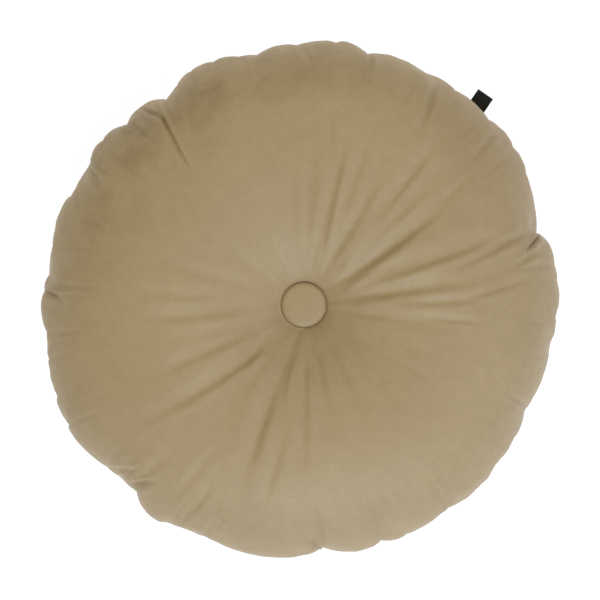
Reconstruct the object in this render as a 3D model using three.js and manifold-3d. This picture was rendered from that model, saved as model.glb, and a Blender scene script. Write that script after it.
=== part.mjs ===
// A round filled cushion, tufted through its middle by a cloth-covered button on each side.
// Two round panels meet in a gathered seam at the edge, and a folded tape tab is caught in that seam.
// Units are millimetres and +Z is up. The cushion lies on its back on the plane z = 0.
// Angles are in degrees round the buttons' axis, from +X towards +Y.

import * as THREE from "three";
import { mergeVertices } from "three/addons/utils/BufferGeometryUtils.js";
import Module from "manifold-3d";

const { clamp, degToRad, euclideanModulo, lerp } = THREE.MathUtils;

// Driving dimensions of the filled body
const SEAM_HEIGHT = 50; // the edge seam above the surface
const FACE_RISE = 74; // how far the filling would lift the face above the seam, with no button
const BACK_DROP = 64; // how far it would push the back below the seam, with no floor
const FULLNESS = 3; // power of the inflated profile, which is upright at the seam
const FLOOR_ROUNDING = 4; // height over which the back rounds off onto the floor
const TUFT_SPREAD = 43; // distance over which a button's pull fades
const FACE_PULL = 37; // how far the button pulls the face in
const BACK_PULL = 25; // how far the other button pulls the back in
const SEAM_INSET = 5; // how far the seam line lies inside the edge's bulge
const SEAM_GROOVE = 5; // height over which the panels roll in to the seam
const SEAM_HOLD = 4; // height above and below the seam over which it keeps the folds flat
const SEAM_WANDER = 0.9; // how far each of two waves takes the seam off its mean height
const WANDER_FADE = 22; // distance above and below the seam over which that dies away
const BULGE_ALLOWANCE = 1.3; // what the rounding of the edge takes off the outline
const TRIM_FROM = 120; // distance out from which the rim is moved, so that its widest point is on the outline
const TRIM_FULL = 185; // distance out from which it moves the whole way
const PUCKER_HEIGHT = 7; // a pucker stays sharp this far above and below the seam
const PUCKER_FADE = 0.4; // degrees of softening for each millimetre beyond that
const LOBE_ROUNDNESS = 0.8; // 1 is a parabola between two puckers, less is fuller at its ends

// Driving dimensions of a covered button and of its seat in the cloth
const BUTTON_RADIUS = 17.4;
const SEAT_RADIUS = 18.2; // where the cloth turns down round the button
const SEAT_DEPTH = 5.6;
const CLEARANCE = 0.3; // between pieces that touch

// Driving dimensions of the tape tab
const TAB_WIDTH = 13.4;
const TAB_SHOWN = 11; // from the edge's outline to the tab's fold
const TAB_SEWN = 5; // held inside the seam
const TAB_LAYER = 0.7;
const TAB_GAP = 0.5; // between its two layers
const TAB_AT = 48.8; // where it leaves the edge
const TAB_HEADING = 55.7; // the way it points

// Each pucker of the edge seam: where it is and its distance from the button, then how far the lobe after it
// bulges, and at which share of the lobe's width it bulges most.
const PUCKERS = [
  { at: 5.5, out: 195.8, bulge: 0.8, peak: 0.5 },
  { at: 9, out: 195.7, bulge: 4.2, peak: 0.6 },
  { at: 17.2, out: 187.7, bulge: 0.9, peak: 0.5 },
  { at: 30.5, out: 198.8, bulge: 1.7, peak: 0.5 },
  { at: 37.2, out: 202.3, bulge: 2.5, peak: 0.5 },
  { at: 45.2, out: 201.3, bulge: 2.1, peak: 0.5 },
  { at: 54.7, out: 201.9, bulge: 2, peak: 0.5 },
  { at: 62.2, out: 201.9, bulge: 3.6, peak: 0.6 },
  { at: 75.7, out: 199.1, bulge: 3.2, peak: 0.5 },
  { at: 83, out: 203.8, bulge: 1.8, peak: 0.5 },
  { at: 91.5, out: 199.8, bulge: 3.1, peak: 0.5 },
  { at: 100.7, out: 195.8, bulge: 0.7, peak: 0.5 },
  { at: 104.8, out: 197.3, bulge: 2, peak: 0.5 },
  { at: 110.5, out: 199.4, bulge: 2.1, peak: 0.5 },
  { at: 115.8, out: 199.5, bulge: 2.3, peak: 0.5 },
  { at: 120, out: 194.8, bulge: 0.6, peak: 0.5 },
  { at: 123.8, out: 190, bulge: 5.8, peak: 0.45 },
  { at: 134.4, out: 194.2, bulge: 3, peak: 0.55 },
  { at: 140.7, out: 199.5, bulge: 3, peak: 0.5 },
  { at: 146.2, out: 197.2, bulge: 0, peak: 0.5 },
  { at: 155, out: 197.7, bulge: 3.3, peak: 0.35 },
  { at: 166.8, out: 198.3, bulge: 0.8, peak: 0.5 },
  { at: 173.2, out: 197.7, bulge: 1.7, peak: 0.5 },
  { at: 177, out: 200.1, bulge: 3.4, peak: 0.42 },
  { at: 186, out: 198.7, bulge: 0.6, peak: 0.5 },
  { at: 192, out: 200.3, bulge: 1.3, peak: 0.4 },
  { at: 200.2, out: 202.8, bulge: 2, peak: 0.5 },
  { at: 207, out: 203.3, bulge: 3.1, peak: 0.3 },
  { at: 219.3, out: 196.3, bulge: 0.5, peak: 0.5 },
  { at: 222.8, out: 194.4, bulge: 0.2, peak: 0.5 },
  { at: 228.2, out: 193, bulge: 5, peak: 0.52 },
  { at: 237.4, out: 198.7, bulge: 0, peak: 0.5 },
  { at: 242.3, out: 194.7, bulge: 0.6, peak: 0.5 },
  { at: 247.7, out: 193.9, bulge: 6.2, peak: 0.57 },
  { at: 274.6, out: 187.5, bulge: 5.2, peak: 0.58 },
  { at: 288.2, out: 190.5, bulge: 2.2, peak: 0.5 },
  { at: 294.2, out: 193.6, bulge: 1.3, peak: 0.5 },
  { at: 305.5, out: 191.5, bulge: 1.5, peak: 0.5 },
  { at: 313, out: 194.5, bulge: 1.4, peak: 0.5 },
  { at: 320.2, out: 192, bulge: 1.1, peak: 0.5 },
  { at: 327.8, out: 191.8, bulge: 1.4, peak: 0.5 },
  { at: 334.5, out: 188.8, bulge: 2.3, peak: 0.5 },
  { at: 351.5, out: 192.2, bulge: 1.8, peak: 0.5 },
  { at: 357.2, out: 193.6, bulge: 2.2, peak: 0.5 },
];

// Each main fold of the face: a valley from one plan point (angle, distance) to another. The width is from
// ridge to ridge, the skew makes the side towards a greater angle the wider one, the peak is the share of the
// length where it is deepest, and the bow takes its middle sideways.
const FACE_FOLDS = [
  { start: [1.2, 60], end: [1.6, 140], depth: 1, width: 12, skew: 0.2, peak: 0.6, bow: 0 },
  { start: [1.4, 112], end: [7.2, 186], depth: 1.2, width: 10, skew: 0.2, peak: 0.45, bow: 0 },
  { start: [10, 23], end: [8, 156], depth: 1.7, width: 15, skew: 0.3, peak: 0.45, bow: 0 },
  { start: [21.4, 42], end: [19.6, 170], depth: 2.6, width: 16, skew: 0.4, peak: 0.5, bow: 0 },
  { start: [13.4, 112], end: [18.6, 190], depth: 2.2, width: 10, skew: 0, peak: 0.62, bow: 0 },
  { start: [10, 156], end: [13.4, 192], depth: 1.5, width: 8, skew: 0, peak: 0.5, bow: 0 },
  { start: [27, 19], end: [36, 162], depth: 3, width: 19, skew: 0.3, peak: 0.42, bow: -1 },
  { start: [36.6, 118], end: [38.4, 172], depth: 0.9, width: 9, skew: 0, peak: 0.5, bow: 0 },
  { start: [48.6, 90], end: [50.4, 180], depth: 1.6, width: 13, skew: 0.2, peak: 0.55, bow: 0 },
  { start: [56, 23], end: [57.6, 116], depth: 0.7, width: 15, skew: 0.2, peak: 0.4, bow: 0 },
  { start: [56.6, 156], end: [60.2, 206], depth: 2.7, width: 9, skew: 0.15, peak: 0.65, bow: 0 },
  { start: [41, 168], end: [43.2, 206], depth: 1.5, width: 8, skew: 0, peak: 0.6, bow: 0 },
  { start: [65.4, 62], end: [70, 168], depth: 1.2, width: 13, skew: 0.1, peak: 0.6, bow: 0 },
  { start: [71, 21], end: [76.6, 140], depth: 1.9, width: 14, skew: 0.35, peak: 0.36, bow: -1.2 },
  { start: [131.6, 128], end: [127.4, 214], depth: 4.6, width: 12, skew: 0.3, peak: 0.52, bow: 0.8 },
  { start: [150.8, 170], end: [146.6, 202], depth: 1.9, width: 8, skew: 0, peak: 0.6, bow: 0 },
  { start: [159.4, 144], end: [157.8, 194], depth: 1.3, width: 9, skew: 0, peak: 0.55, bow: 0 },
  { start: [174, 46], end: [175.4, 124], depth: 0.6, width: 13, skew: -0.2, peak: 0.6, bow: 0 },
  { start: [179.5, 180], end: [176, 206], depth: 2.2, width: 7, skew: 0, peak: 0.6, bow: 0 },
  { start: [186, 22], end: [184.8, 136], depth: 1, width: 17, skew: -0.3, peak: 0.6, bow: 0 },
  { start: [207, 22], end: [205.2, 144], depth: 0.95, width: 17, skew: -0.3, peak: 0.5, bow: 0 },
  { start: [231, 30], end: [214.5, 168], depth: 2.1, width: 17, skew: -0.35, peak: 0.42, bow: 5.5 },
  { start: [228.4, 146], end: [225.2, 190], depth: 1.5, width: 9, skew: -0.1, peak: 0.55, bow: 0 },
  { start: [229, 174], end: [224.4, 196], depth: 2.3, width: 7.5, skew: 0.2, peak: 0.5, bow: 0 },
  { start: [222.6, 178], end: [219.6, 197], depth: 1.6, width: 7, skew: 0.2, peak: 0.5, bow: 0 },
  { start: [237, 24], end: [235, 92], depth: 0.9, width: 13, skew: 0, peak: 0.4, bow: 0 },
  { start: [238.6, 116], end: [236.2, 180], depth: 0.9, width: 11, skew: 0, peak: 0.6, bow: 0 },
  { start: [243.8, 150], end: [239.8, 196], depth: 2, width: 10, skew: -0.3, peak: 0.5, bow: 0 },
  { start: [248.5, 170], end: [245.8, 197], depth: 1.2, width: 8, skew: 0, peak: 0.5, bow: 0 },
  { start: [248, 21], end: [251.9, 168], depth: 2.6, width: 17, skew: -0.35, peak: 0.38, bow: 0 },
  { start: [257, 24], end: [255.6, 92], depth: 1.7, width: 13, skew: -0.1, peak: 0.45, bow: 0 },
  { start: [263.4, 80], end: [258, 162], depth: 0.8, width: 13, skew: -0.2, peak: 0.55, bow: 0 },
  { start: [269.3, 22], end: [270.2, 134], depth: 1.1, width: 16, skew: -0.35, peak: 0.42, bow: 0 },
  { start: [272.4, 162], end: [274.8, 194], depth: 2.2, width: 8, skew: 0, peak: 0.6, bow: 0 },
  { start: [279, 22], end: [283, 100], depth: 0.9, width: 15, skew: 0, peak: 0.4, bow: 0 },
  { start: [299, 22], end: [297, 122], depth: 0.8, width: 15, skew: 0, peak: 0.4, bow: 0 },
  { start: [315.5, 22], end: [314, 128], depth: 0.9, width: 14, skew: 0, peak: 0.5, bow: 0 },
  { start: [331.5, 22], end: [329.5, 132], depth: 0.9, width: 13, skew: 0.1, peak: 0.5, bow: 0 },
  { start: [337.2, 160], end: [336.2, 192], depth: 2, width: 8, skew: 0.2, peak: 0.6, bow: 0 },
  { start: [345, 40], end: [350, 118], depth: 0.8, width: 11, skew: 0, peak: 0.6, bow: 0 },
  { start: [352.6, 21], end: [351.8, 126], depth: 1.7, width: 15, skew: 0.35, peak: 0.4, bow: 0 },
];

// The back's folds lie against the floor, so they fan out plainly from the button.
const BACK_FAN_COUNT = 14;
const BACK_FAN = Array.from({ length: BACK_FAN_COUNT }, (_, i) => {
  const at = (i * 360) / BACK_FAN_COUNT + 7 * Math.sin(3.1 * i);
  return {
    start: [at, 22],
    end: [at + 5 * Math.sin(1.7 * i), 118 + 16 * Math.sin(2.3 * i)],
    depth: 1.8 + 0.6 * Math.sin(4.3 * i),
    width: 14,
    skew: 0,
    peak: 0.4,
    bow: 0,
  };
});

// A short fold runs in over a panel from each pucker, deeper where the lobes beside it bulge more.
function puckerFolds(reach, depth) {
  return PUCKERS.map((pucker, i) => ({
    start: [pucker.at + 1.6 * Math.sin(2.9 * i), pucker.out - reach * (1 + 0.35 * Math.sin(1.9 * i))],
    end: [pucker.at, pucker.out + 24],
    depth: depth * (1 + 0.45 * Math.max(pucker.bulge, PUCKERS.at(i - 1).bulge)),
    width: 8.5 + Math.sin(2.3 * i),
    skew: 0.25 * Math.sin(1.3 * i),
    peak: 0.55,
    bow: 0,
  }));
}

// The rings of the two panels. A slope of 90 is the seam, and the slope falls towards the button.
// On the back, the rings are wide apart where it lies flat on the floor.
const EDGE_COLUMN_STEP = 2; // degrees between columns at the edge, at most
const FACE_RINGS = [
  { slope: 86.5, columns: "edge" },
  { slope: 82.5, columns: "edge" },
  { slope: 77, columns: "edge" },
  { slope: 70, columns: "edge" },
  { slope: 62, columns: "edge" },
  { slope: 53.5, columns: 180 },
  { slope: 44.5, columns: 180 },
  { slope: 35.5, columns: 180 },
  { slope: 27, columns: 180 },
  { slope: 19.5, columns: 180 },
  { slope: 13.3, columns: 180 },
  { slope: 8.8, columns: 120 },
  { slope: 5.6, columns: 90 },
  { slope: 3.5, columns: 72 },
  { slope: 2.4, columns: 60 },
];
const BACK_RINGS = [
  { slope: 86.5, columns: "edge" },
  { slope: 82, columns: "edge" },
  { slope: 75, columns: "edge" },
  { slope: 66, columns: "edge" },
  { slope: 56, columns: 150 },
  { slope: 47, columns: 120 },
  { slope: 39, columns: 90 },
  { slope: 32, columns: 72 },
  { slope: 26, columns: 60 },
  { slope: 13, columns: 60 },
  { slope: 9.5, columns: 60 },
  { slope: 6.5, columns: 60 },
  { slope: 4.4, columns: 60 },
  { slope: 2.9, columns: 48 },
];

// The seat under a button, from its lip to its floor: the distance from the axis and the share of the depth.
const SEAT_RINGS = [
  { out: SEAT_RADIUS, down: 0 },
  { out: 17.9, down: 0.08 },
  { out: 17.75, down: 0.2 },
  { out: 17.5, down: 0.5 },
  { out: 16.4, down: 0.78 },
  { out: 13.8, down: 1 },
];
const SEAT_COLUMNS = 48;

// A covered button from its back to its top, in millimetres above its back.
const BUTTON_PROFILE = [
  { out: 0, up: 0 },
  { out: 13, up: 0 },
  { out: 15.8, up: 1 },
  { out: 17.1, up: 2.6 },
  { out: BUTTON_RADIUS, up: 4.6 },
  { out: 17.15, up: 6.1 },
  { out: 16.6, up: 7.2 },
  { out: 15.7, up: 8 },
  { out: 14.2, up: 8.45 },
  { out: 11, up: 8.7 },
  { out: 6, up: 8.85 },
  { out: 0, up: 8.9 },
];
const BUTTON_SEGMENTS = 48;

const FACE = {
  sign: 1,
  rise: FACE_RISE,
  pull: FACE_PULL,
  rings: FACE_RINGS,
  folds: [...FACE_FOLDS, ...puckerFolds(30, 0.5)],
};
const BACK = {
  sign: -1,
  rise: BACK_DROP,
  pull: BACK_PULL,
  rings: BACK_RINGS,
  folds: [...BACK_FAN, ...puckerFolds(36, 0.7)],
};

const wasm = await Module();
wasm.setup();

// Distance from the button to the edge's outline, with a cusp at each pucker and a lobe between two.
function edgeAt(angle) {
  const turn = euclideanModulo(angle, 360);
  const before = PUCKERS.findLastIndex((pucker) => pucker.at <= turn);
  const from = PUCKERS.at(before);
  const to = PUCKERS[(before + 1) % PUCKERS.length];
  const span = euclideanModulo(to.at - from.at, 360);
  const share = euclideanModulo(turn - from.at, 360) / span;
  const leaning = Math.pow(share, Math.log(0.5) / Math.log(from.peak));
  const lobe = Math.pow(4 * leaning * (1 - leaning), LOBE_ROUNDNESS);
  return lerp(from.out, to.out, share) + from.bulge * lobe;
}

// The same distance, softened over a few degrees, as the puckers are away from the seam.
function softEdgeAt(angle, softening) {
  const reach = 4;
  let sum = 0;
  let weights = 0;
  for (let step = -reach; step <= reach; step++) {
    const weight = reach + 1 - Math.abs(step);
    sum += weight * edgeAt(angle + (step * softening) / reach);
    weights += weight;
  }
  return sum / weights;
}

// The smooth profile of a panel at a ring's slope: distance out and height above or below the seam.
function profileAt(panel, angle, slope) {
  const height = panel.rise * Math.cos(degToRad(slope));
  const share = Math.pow(Math.sin(degToRad(slope)), 2 / FULLNESS);
  const softening = PUCKER_FADE * Math.max(0, height - PUCKER_HEIGHT);
  const groove = SEAM_INSET * Math.exp(-((height / SEAM_GROOVE) ** 2));
  const out = (softEdgeAt(angle, softening) + BULGE_ALLOWANCE) * share - groove;
  const fromSeat = Math.max(0, out - SEAT_RADIUS);
  return { out, height: height - panel.pull * Math.exp(-fromSeat / TUFT_SPREAD) };
}

// A plan point, as a vector, at an angle and a distance from the buttons' axis.
function planPoint(angle, out) {
  const turn = degToRad(angle);
  return new THREE.Vector2(Math.cos(turn), Math.sin(turn)).multiplyScalar(out);
}

// A valley with a ridge on each side. The ridges stand one unit from the middle.
function creaseShape(across) {
  const scaled = 1.5 * across ** 2;
  return -(1 - 2 * scaled) * Math.exp(-scaled);
}

// How much of its depth a fold has along its length: none at its ends, all of it at its peak.
function foldSwell(along, peak) {
  if (along < peak) return Math.sin((Math.PI / 2) * (along / peak)) ** 1.4;
  return Math.cos((Math.PI / 2) * ((along - peak) / (1 - peak))) ** 2;
}

// How far the folds lift the cloth off its smooth shape at a plan point, or lower it.
function foldsAt(folds, point) {
  let lift = 0;
  for (const fold of folds) {
    const start = planPoint(...fold.start);
    const run = planPoint(...fold.end).sub(start);
    const length = run.length();
    const offset = point.clone().sub(start);
    const along = offset.dot(run) / length ** 2;
    if (along <= 0 || along >= 1) continue;
    const across = run.cross(offset) / length - fold.bow * Math.sin(Math.PI * along);
    const toRidge = (fold.width / 2) * (1 + Math.sign(across) * fold.skew);
    lift += fold.depth * foldSwell(along, fold.peak) * creaseShape(across / toRidge);
  }
  return lift;
}

// The height of the back above the floor: exactly zero where it lies flat, and rounded off around that.
function restOnFloor(height) {
  if (height <= -FLOOR_ROUNDING) return 0;
  if (height >= FLOOR_ROUNDING) return height;
  return (height + FLOOR_ROUNDING) ** 2 / (4 * FLOOR_ROUNDING);
}

// The seam's height above the surface. It is a little uneven all the way round.
function seamAt(angle) {
  const turn = degToRad(angle);
  return SEAM_HEIGHT + SEAM_WANDER * (Math.sin(5 * turn + 1) + Math.sin(13 * turn + 2.2));
}

// How freely the cloth folds at a slope: not at all in the seam, and wholly a little above or below it.
function freedomAt(panel, slope) {
  return 1 - Math.exp(-(((panel.rise * Math.cos(degToRad(slope))) / SEAM_HOLD) ** 2));
}

// Distance out and height of a panel's cloth, its folds raised along the smooth profile's outward direction.
function surfaceAt(panel, angle, slope) {
  const here = profileAt(panel, angle, slope);
  const nearer = profileAt(panel, angle, slope - 0.5);
  const further = profileAt(panel, angle, Math.min(90, slope + 0.5));
  const normal = new THREE.Vector2(
    nearer.height - further.height,
    further.out - nearer.out,
  ).normalize();
  const lift = foldsAt(panel.folds, planPoint(angle, here.out)) * freedomAt(panel, slope);
  const wander = (seamAt(angle) - SEAM_HEIGHT) * Math.exp(-Math.abs(here.height) / WANDER_FADE);
  const height = SEAM_HEIGHT + wander + panel.sign * (here.height + lift * normal.y);
  return { out: here.out + lift * normal.x, height };
}

// How far the rim moves at an angle, for the panel's widest ring to lie on the outline there.
function trimAt(panel, angle) {
  const atEdge = panel.rings.filter((ring) => ring.columns === "edge");
  return edgeAt(angle) - Math.max(...atEdge.map((ring) => surfaceAt(panel, angle, ring.slope).out));
}

// A point of a panel. The seam itself isn't trimmed, nor is the cloth well inside the rim.
function panelPoint(panel, angle, slope) {
  const { out, height } = surfaceAt(panel, angle, slope);
  const nearRim = clamp((out - TRIM_FROM) / (TRIM_FULL - TRIM_FROM), 0, 1) ** 2;
  const trim = nearRim > 0 ? trimAt(panel, angle) * nearRim * freedomAt(panel, slope) : 0;
  const plan = planPoint(angle, out + trim);
  return new THREE.Vector3(plan.x, plan.y, panel.sign > 0 ? height : restOnFloor(height));
}

// The height at which the cloth turns down, or up, into a button's seat.
function seatLip(panel) {
  return SEAM_HEIGHT + panel.sign * (panel.rise - panel.pull);
}

function evenAngles(columns) {
  return Array.from({ length: columns }, (_, i) => (i * 360) / columns);
}

// Column angles at the edge: one on each pucker, and even steps between two.
function edgeAngles() {
  return PUCKERS.flatMap((pucker, i) => {
    const next = PUCKERS[(i + 1) % PUCKERS.length];
    const span = euclideanModulo(next.at - pucker.at, 360);
    const steps = Math.ceil(span / EDGE_COLUMN_STEP);
    return Array.from({ length: steps }, (_, k) => (pucker.at + (span * k) / steps) % 360);
  }).sort((a, b) => a - b);
}

// A closed loop of points round the axis, each kept with its angle.
function ringOf(angles, pointAt) {
  return angles.map((angle) => ({ angle, point: pointAt(angle) }));
}

function panelRings(panel, atEdge) {
  return panel.rings.map((ring) =>
    ringOf(ring.columns === "edge" ? atEdge : evenAngles(ring.columns), (angle) =>
      panelPoint(panel, angle, ring.slope),
    ),
  );
}

function seatRings(panel) {
  return SEAT_RINGS.map((ring) =>
    ringOf(evenAngles(SEAT_COLUMNS), (angle) => {
      const plan = planPoint(angle, ring.out);
      const height = seatLip(panel) - panel.sign * SEAT_DEPTH * ring.down;
      return new THREE.Vector3(plan.x, plan.y, height);
    }),
  );
}

// The triangles between two rings, which may have different numbers of points.
function stitch(upper, lower, triangles) {
  const angleOf = (ring, i) => ring[i % ring.length].angle + 360 * Math.floor(i / ring.length);
  let i = 0;
  let j = 0;
  while (i < upper.length || j < lower.length) {
    const top = upper[i % upper.length].point;
    const bottom = lower[j % lower.length].point;
    const nextTop = i < upper.length ? angleOf(upper, i + 1) : Infinity;
    const nextBottom = j < lower.length ? angleOf(lower, j + 1) : Infinity;
    if (nextBottom <= nextTop) {
      triangles.push(bottom, lower[(j + 1) % lower.length].point, top);
      j++;
    } else {
      triangles.push(top, bottom, upper[(i + 1) % upper.length].point);
      i++;
    }
  }
}

// The triangles from a ring to one point on the axis, above it or below it.
function capRing(ring, pole, isTop, triangles) {
  ring.forEach(({ point }, i) => {
    const next = ring[(i + 1) % ring.length].point;
    triangles.push(...(isTop ? [point, next, pole] : [next, point, pole]));
  });
}

function polePoint(panel) {
  return new THREE.Vector3(0, 0, seatLip(panel) - panel.sign * SEAT_DEPTH);
}

// The filled body as one closed surface, from the face's seat over the edge seam to the back's seat.
function bodyGeometry() {
  const atEdge = edgeAngles();
  const seam = ringOf(atEdge, (angle) => panelPoint(FACE, angle, 90));
  const face = [...panelRings(FACE, atEdge), ...seatRings(FACE)];
  const back = [...panelRings(BACK, atEdge), ...seatRings(BACK)];
  const rings = [...face.reverse(), seam, ...back];
  const triangles = [];
  capRing(rings[0], polePoint(FACE), true, triangles);
  rings.slice(1).forEach((ring, i) => stitch(rings[i], ring, triangles));
  capRing(rings.at(-1), polePoint(BACK), false, triangles);
  return new THREE.BufferGeometry().setFromPoints(triangles);
}

// A covered button, lying on its flat back.
function buttonGeometry() {
  const profile = BUTTON_PROFILE.map(({ out, up }) => new THREE.Vector2(out, up));
  return new THREE.LatheGeometry(profile, BUTTON_SEGMENTS).rotateX(Math.PI / 2);
}

// The tab's tape, folded back on itself: a hairpin section, drawn along its heading and extruded across it.
function tabGeometry(length) {
  const outer = TAB_LAYER + TAB_GAP / 2;
  const inner = TAB_GAP / 2;
  const bend = length - outer;
  const section = new THREE.Shape();
  section.moveTo(0, -outer);
  section.lineTo(bend, -outer);
  section.absarc(bend, 0, outer, -Math.PI / 2, Math.PI / 2, false);
  section.lineTo(0, outer);
  section.lineTo(0, inner);
  section.lineTo(bend, inner);
  section.absarc(bend, 0, inner, Math.PI / 2, -Math.PI / 2, true);
  section.lineTo(0, -inner);
  section.closePath();
  const options = { depth: TAB_WIDTH, bevelEnabled: false, curveSegments: 8 };
  return new THREE.ExtrudeGeometry(section, options)
    .translate(0, 0, -TAB_WIDTH / 2)
    .rotateX(Math.PI / 2);
}

// Where the tab's sewn end lies, and how long the folded tape is.
function tabPlacement() {
  const heading = planPoint(TAB_HEADING, 1);
  const atEdge = planPoint(TAB_AT, edgeAt(TAB_AT));
  const hidden = SEAM_INSET + TAB_SEWN;
  return {
    root: atEdge.clone().addScaledVector(heading, -hidden),
    length: hidden + TAB_SHOWN,
  };
}

function toSolid(geometry) {
  const bare = geometry.clone();
  bare.deleteAttribute("normal");
  bare.deleteAttribute("uv");
  const merged = mergeVertices(bare, 1e-3);
  return new wasm.Manifold(
    new wasm.Mesh({
      numProp: 3,
      vertProperties: merged.attributes.position.array,
      triVerts: new Uint32Array(merged.index.array),
    }),
  );
}

function toGeometry(solid) {
  const mesh = solid.getMesh();
  const geometry = new THREE.BufferGeometry();
  geometry.setAttribute("position", new THREE.BufferAttribute(mesh.vertProperties, 3));
  geometry.setIndex(new THREE.BufferAttribute(mesh.triVerts, 1));
  return geometry;
}

// The opening in the seam that the tab's sewn end lies in.
function tabSlot(root, length) {
  const height = 2 * (TAB_LAYER + CLEARANCE) + TAB_GAP;
  const slot = new THREE.BoxGeometry(length, TAB_WIDTH + 2 * CLEARANCE, height);
  return slot
    .translate(length / 2 - CLEARANCE, 0, 0)
    .rotateZ(degToRad(TAB_HEADING))
    .translate(root.x, root.y, seamAt(TAB_AT));
}

const velvet = new THREE.MeshStandardMaterial({ color: 0xa59373, roughness: 0.9, metalness: 0 });
const buttonCloth = velvet.clone();
const tape = new THREE.MeshStandardMaterial({ color: 0x1b1a18, roughness: 0.8, metalness: 0 });

function named(name, geometry, material) {
  const mesh = new THREE.Mesh(geometry, material);
  mesh.name = name;
  return mesh;
}

const tab = tabPlacement();
const body = toSolid(bodyGeometry()).subtract(toSolid(tabSlot(tab.root, tab.length)));
const bodyMesh = named("cushion_body", toGeometry(body), velvet);

const faceButton = named("face_button", buttonGeometry(), buttonCloth);
faceButton.position.z = seatLip(FACE) - SEAT_DEPTH + CLEARANCE;

const backButton = named("back_button", buttonGeometry(), buttonCloth);
backButton.rotation.x = Math.PI;
backButton.position.z = seatLip(BACK) + SEAT_DEPTH - CLEARANCE;

const edgeTab = named("edge_tab", tabGeometry(tab.length), tape);
edgeTab.rotation.z = degToRad(TAB_HEADING);
edgeTab.position.set(tab.root.x, tab.root.y, seamAt(TAB_AT));

// The outline is centred on the origin, so the buttons stand a little off it.
const cushion = new THREE.Group();
cushion.add(bodyMesh, faceButton, backButton, edgeTab);
const middle = new THREE.Box3().setFromObject(bodyMesh).getCenter(new THREE.Vector3());
cushion.position.set(-middle.x, -middle.y, 0);

export default cushion;
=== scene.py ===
# The looks of a round tufted velvet cushion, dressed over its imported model.
# Lengths are in millimetres until a mesh is made, and metres in Blender. Angles are degrees round
# the buttons' axis, from +X towards +Y.

import math

import bpy
import numpy as np
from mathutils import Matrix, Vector


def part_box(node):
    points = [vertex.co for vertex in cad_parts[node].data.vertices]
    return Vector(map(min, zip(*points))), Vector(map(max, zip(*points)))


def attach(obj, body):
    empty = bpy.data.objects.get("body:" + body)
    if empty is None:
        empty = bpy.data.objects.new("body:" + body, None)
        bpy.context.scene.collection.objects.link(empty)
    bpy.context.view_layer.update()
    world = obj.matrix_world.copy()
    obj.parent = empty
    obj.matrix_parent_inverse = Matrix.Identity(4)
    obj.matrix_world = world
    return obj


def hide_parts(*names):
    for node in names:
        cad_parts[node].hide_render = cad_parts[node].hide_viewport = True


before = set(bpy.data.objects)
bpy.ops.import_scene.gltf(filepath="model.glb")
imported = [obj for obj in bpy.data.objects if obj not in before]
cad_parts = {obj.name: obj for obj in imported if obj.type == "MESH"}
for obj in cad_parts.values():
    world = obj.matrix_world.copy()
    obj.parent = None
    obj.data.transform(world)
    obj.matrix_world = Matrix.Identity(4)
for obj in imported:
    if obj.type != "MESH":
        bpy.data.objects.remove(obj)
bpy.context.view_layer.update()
MM = 0.001

# The buttons' axis and their places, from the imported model
FACE_BUTTON_LOW, FACE_BUTTON_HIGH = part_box("face_button")
BACK_BUTTON_LOW, BACK_BUTTON_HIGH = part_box("back_button")
AXIS = (FACE_BUTTON_LOW + FACE_BUTTON_HIGH) / 2

# The filled body, as in the part. The cloth pass swells it, so its face and back start 2 and 3 mm nearer
# the seam than the part's, with the buttons' seats where they are.
SEAM_HEIGHT = 50
FACE_RISE = 72
BACK_DROP = 61
FULLNESS = 3  # the section's fullness: 2 is an ellipse, and more is squarer
FLOOR_ROUNDING = 4  # height over which the back eases on to the floor
TUFT_SPREAD = 43  # distance over which the pull of the button fades
FACE_PULL = 35
BACK_PULL = 22
SEAM_INSET = 5
SEAM_GROOVE = 5  # half of the height over which the sides draw in to the seam
SEAM_WANDER = 0.9
WANDER_FADE = 22  # height over which the seam's wander fades
BULGE_ALLOWANCE = 1.3  # widens the body, for its sides to reach the outline beside the seam
PUCKER_HEIGHT = 7  # height above the seam from which the puckers soften
PUCKER_FADE = 0.4  # degrees of softening for each millimetre above that
LOBE_ROUNDNESS = 0.8
BUTTON_RADIUS = 17.4
SEAT_RADIUS = 18.2
SEAT_DEPTH = 5.6

# What only the looks have: the cloth hugs the button, and the seam is a fine line with gathers
BUTTON_GAP = 0.06
BUTTON_HOLD = 14  # distance from the seat over which the button holds the cloth smooth and in place
LIP_ROUNDING = 0.75
LIP_SHARE = 0.6  # the share of the seat's rings that round its lip
SEAT_FLOOR_ROUNDING = 4.2
TRIM_FROM = 120  # distance out from which the rim follows the outline
TRIM_FULL = 185
RIM_SLOPES = range(60, 90, 3)  # where a panel's widest point is looked for
RIPPLE = 0.2  # how far the gathers show in the outline
SEAM_LINE_DEPTH = 0.9
SEAM_LINE_WIDTH = 0.9
SEAM_HOLD = 4  # height over which the seam keeps the folds flat
NARROWEST = 0.6  # the share of its width that a fold would have at the button's middle
NARROWED_WITHIN = 40  # distance out from which it has all of its width
FOLD_REACH = 3  # how far to each side a fold is felt, in halves of its width
GATHER_DEPTH = 0.3
GATHER_REACH = 13
GATHER_UNEVEN = 0.4

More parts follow.
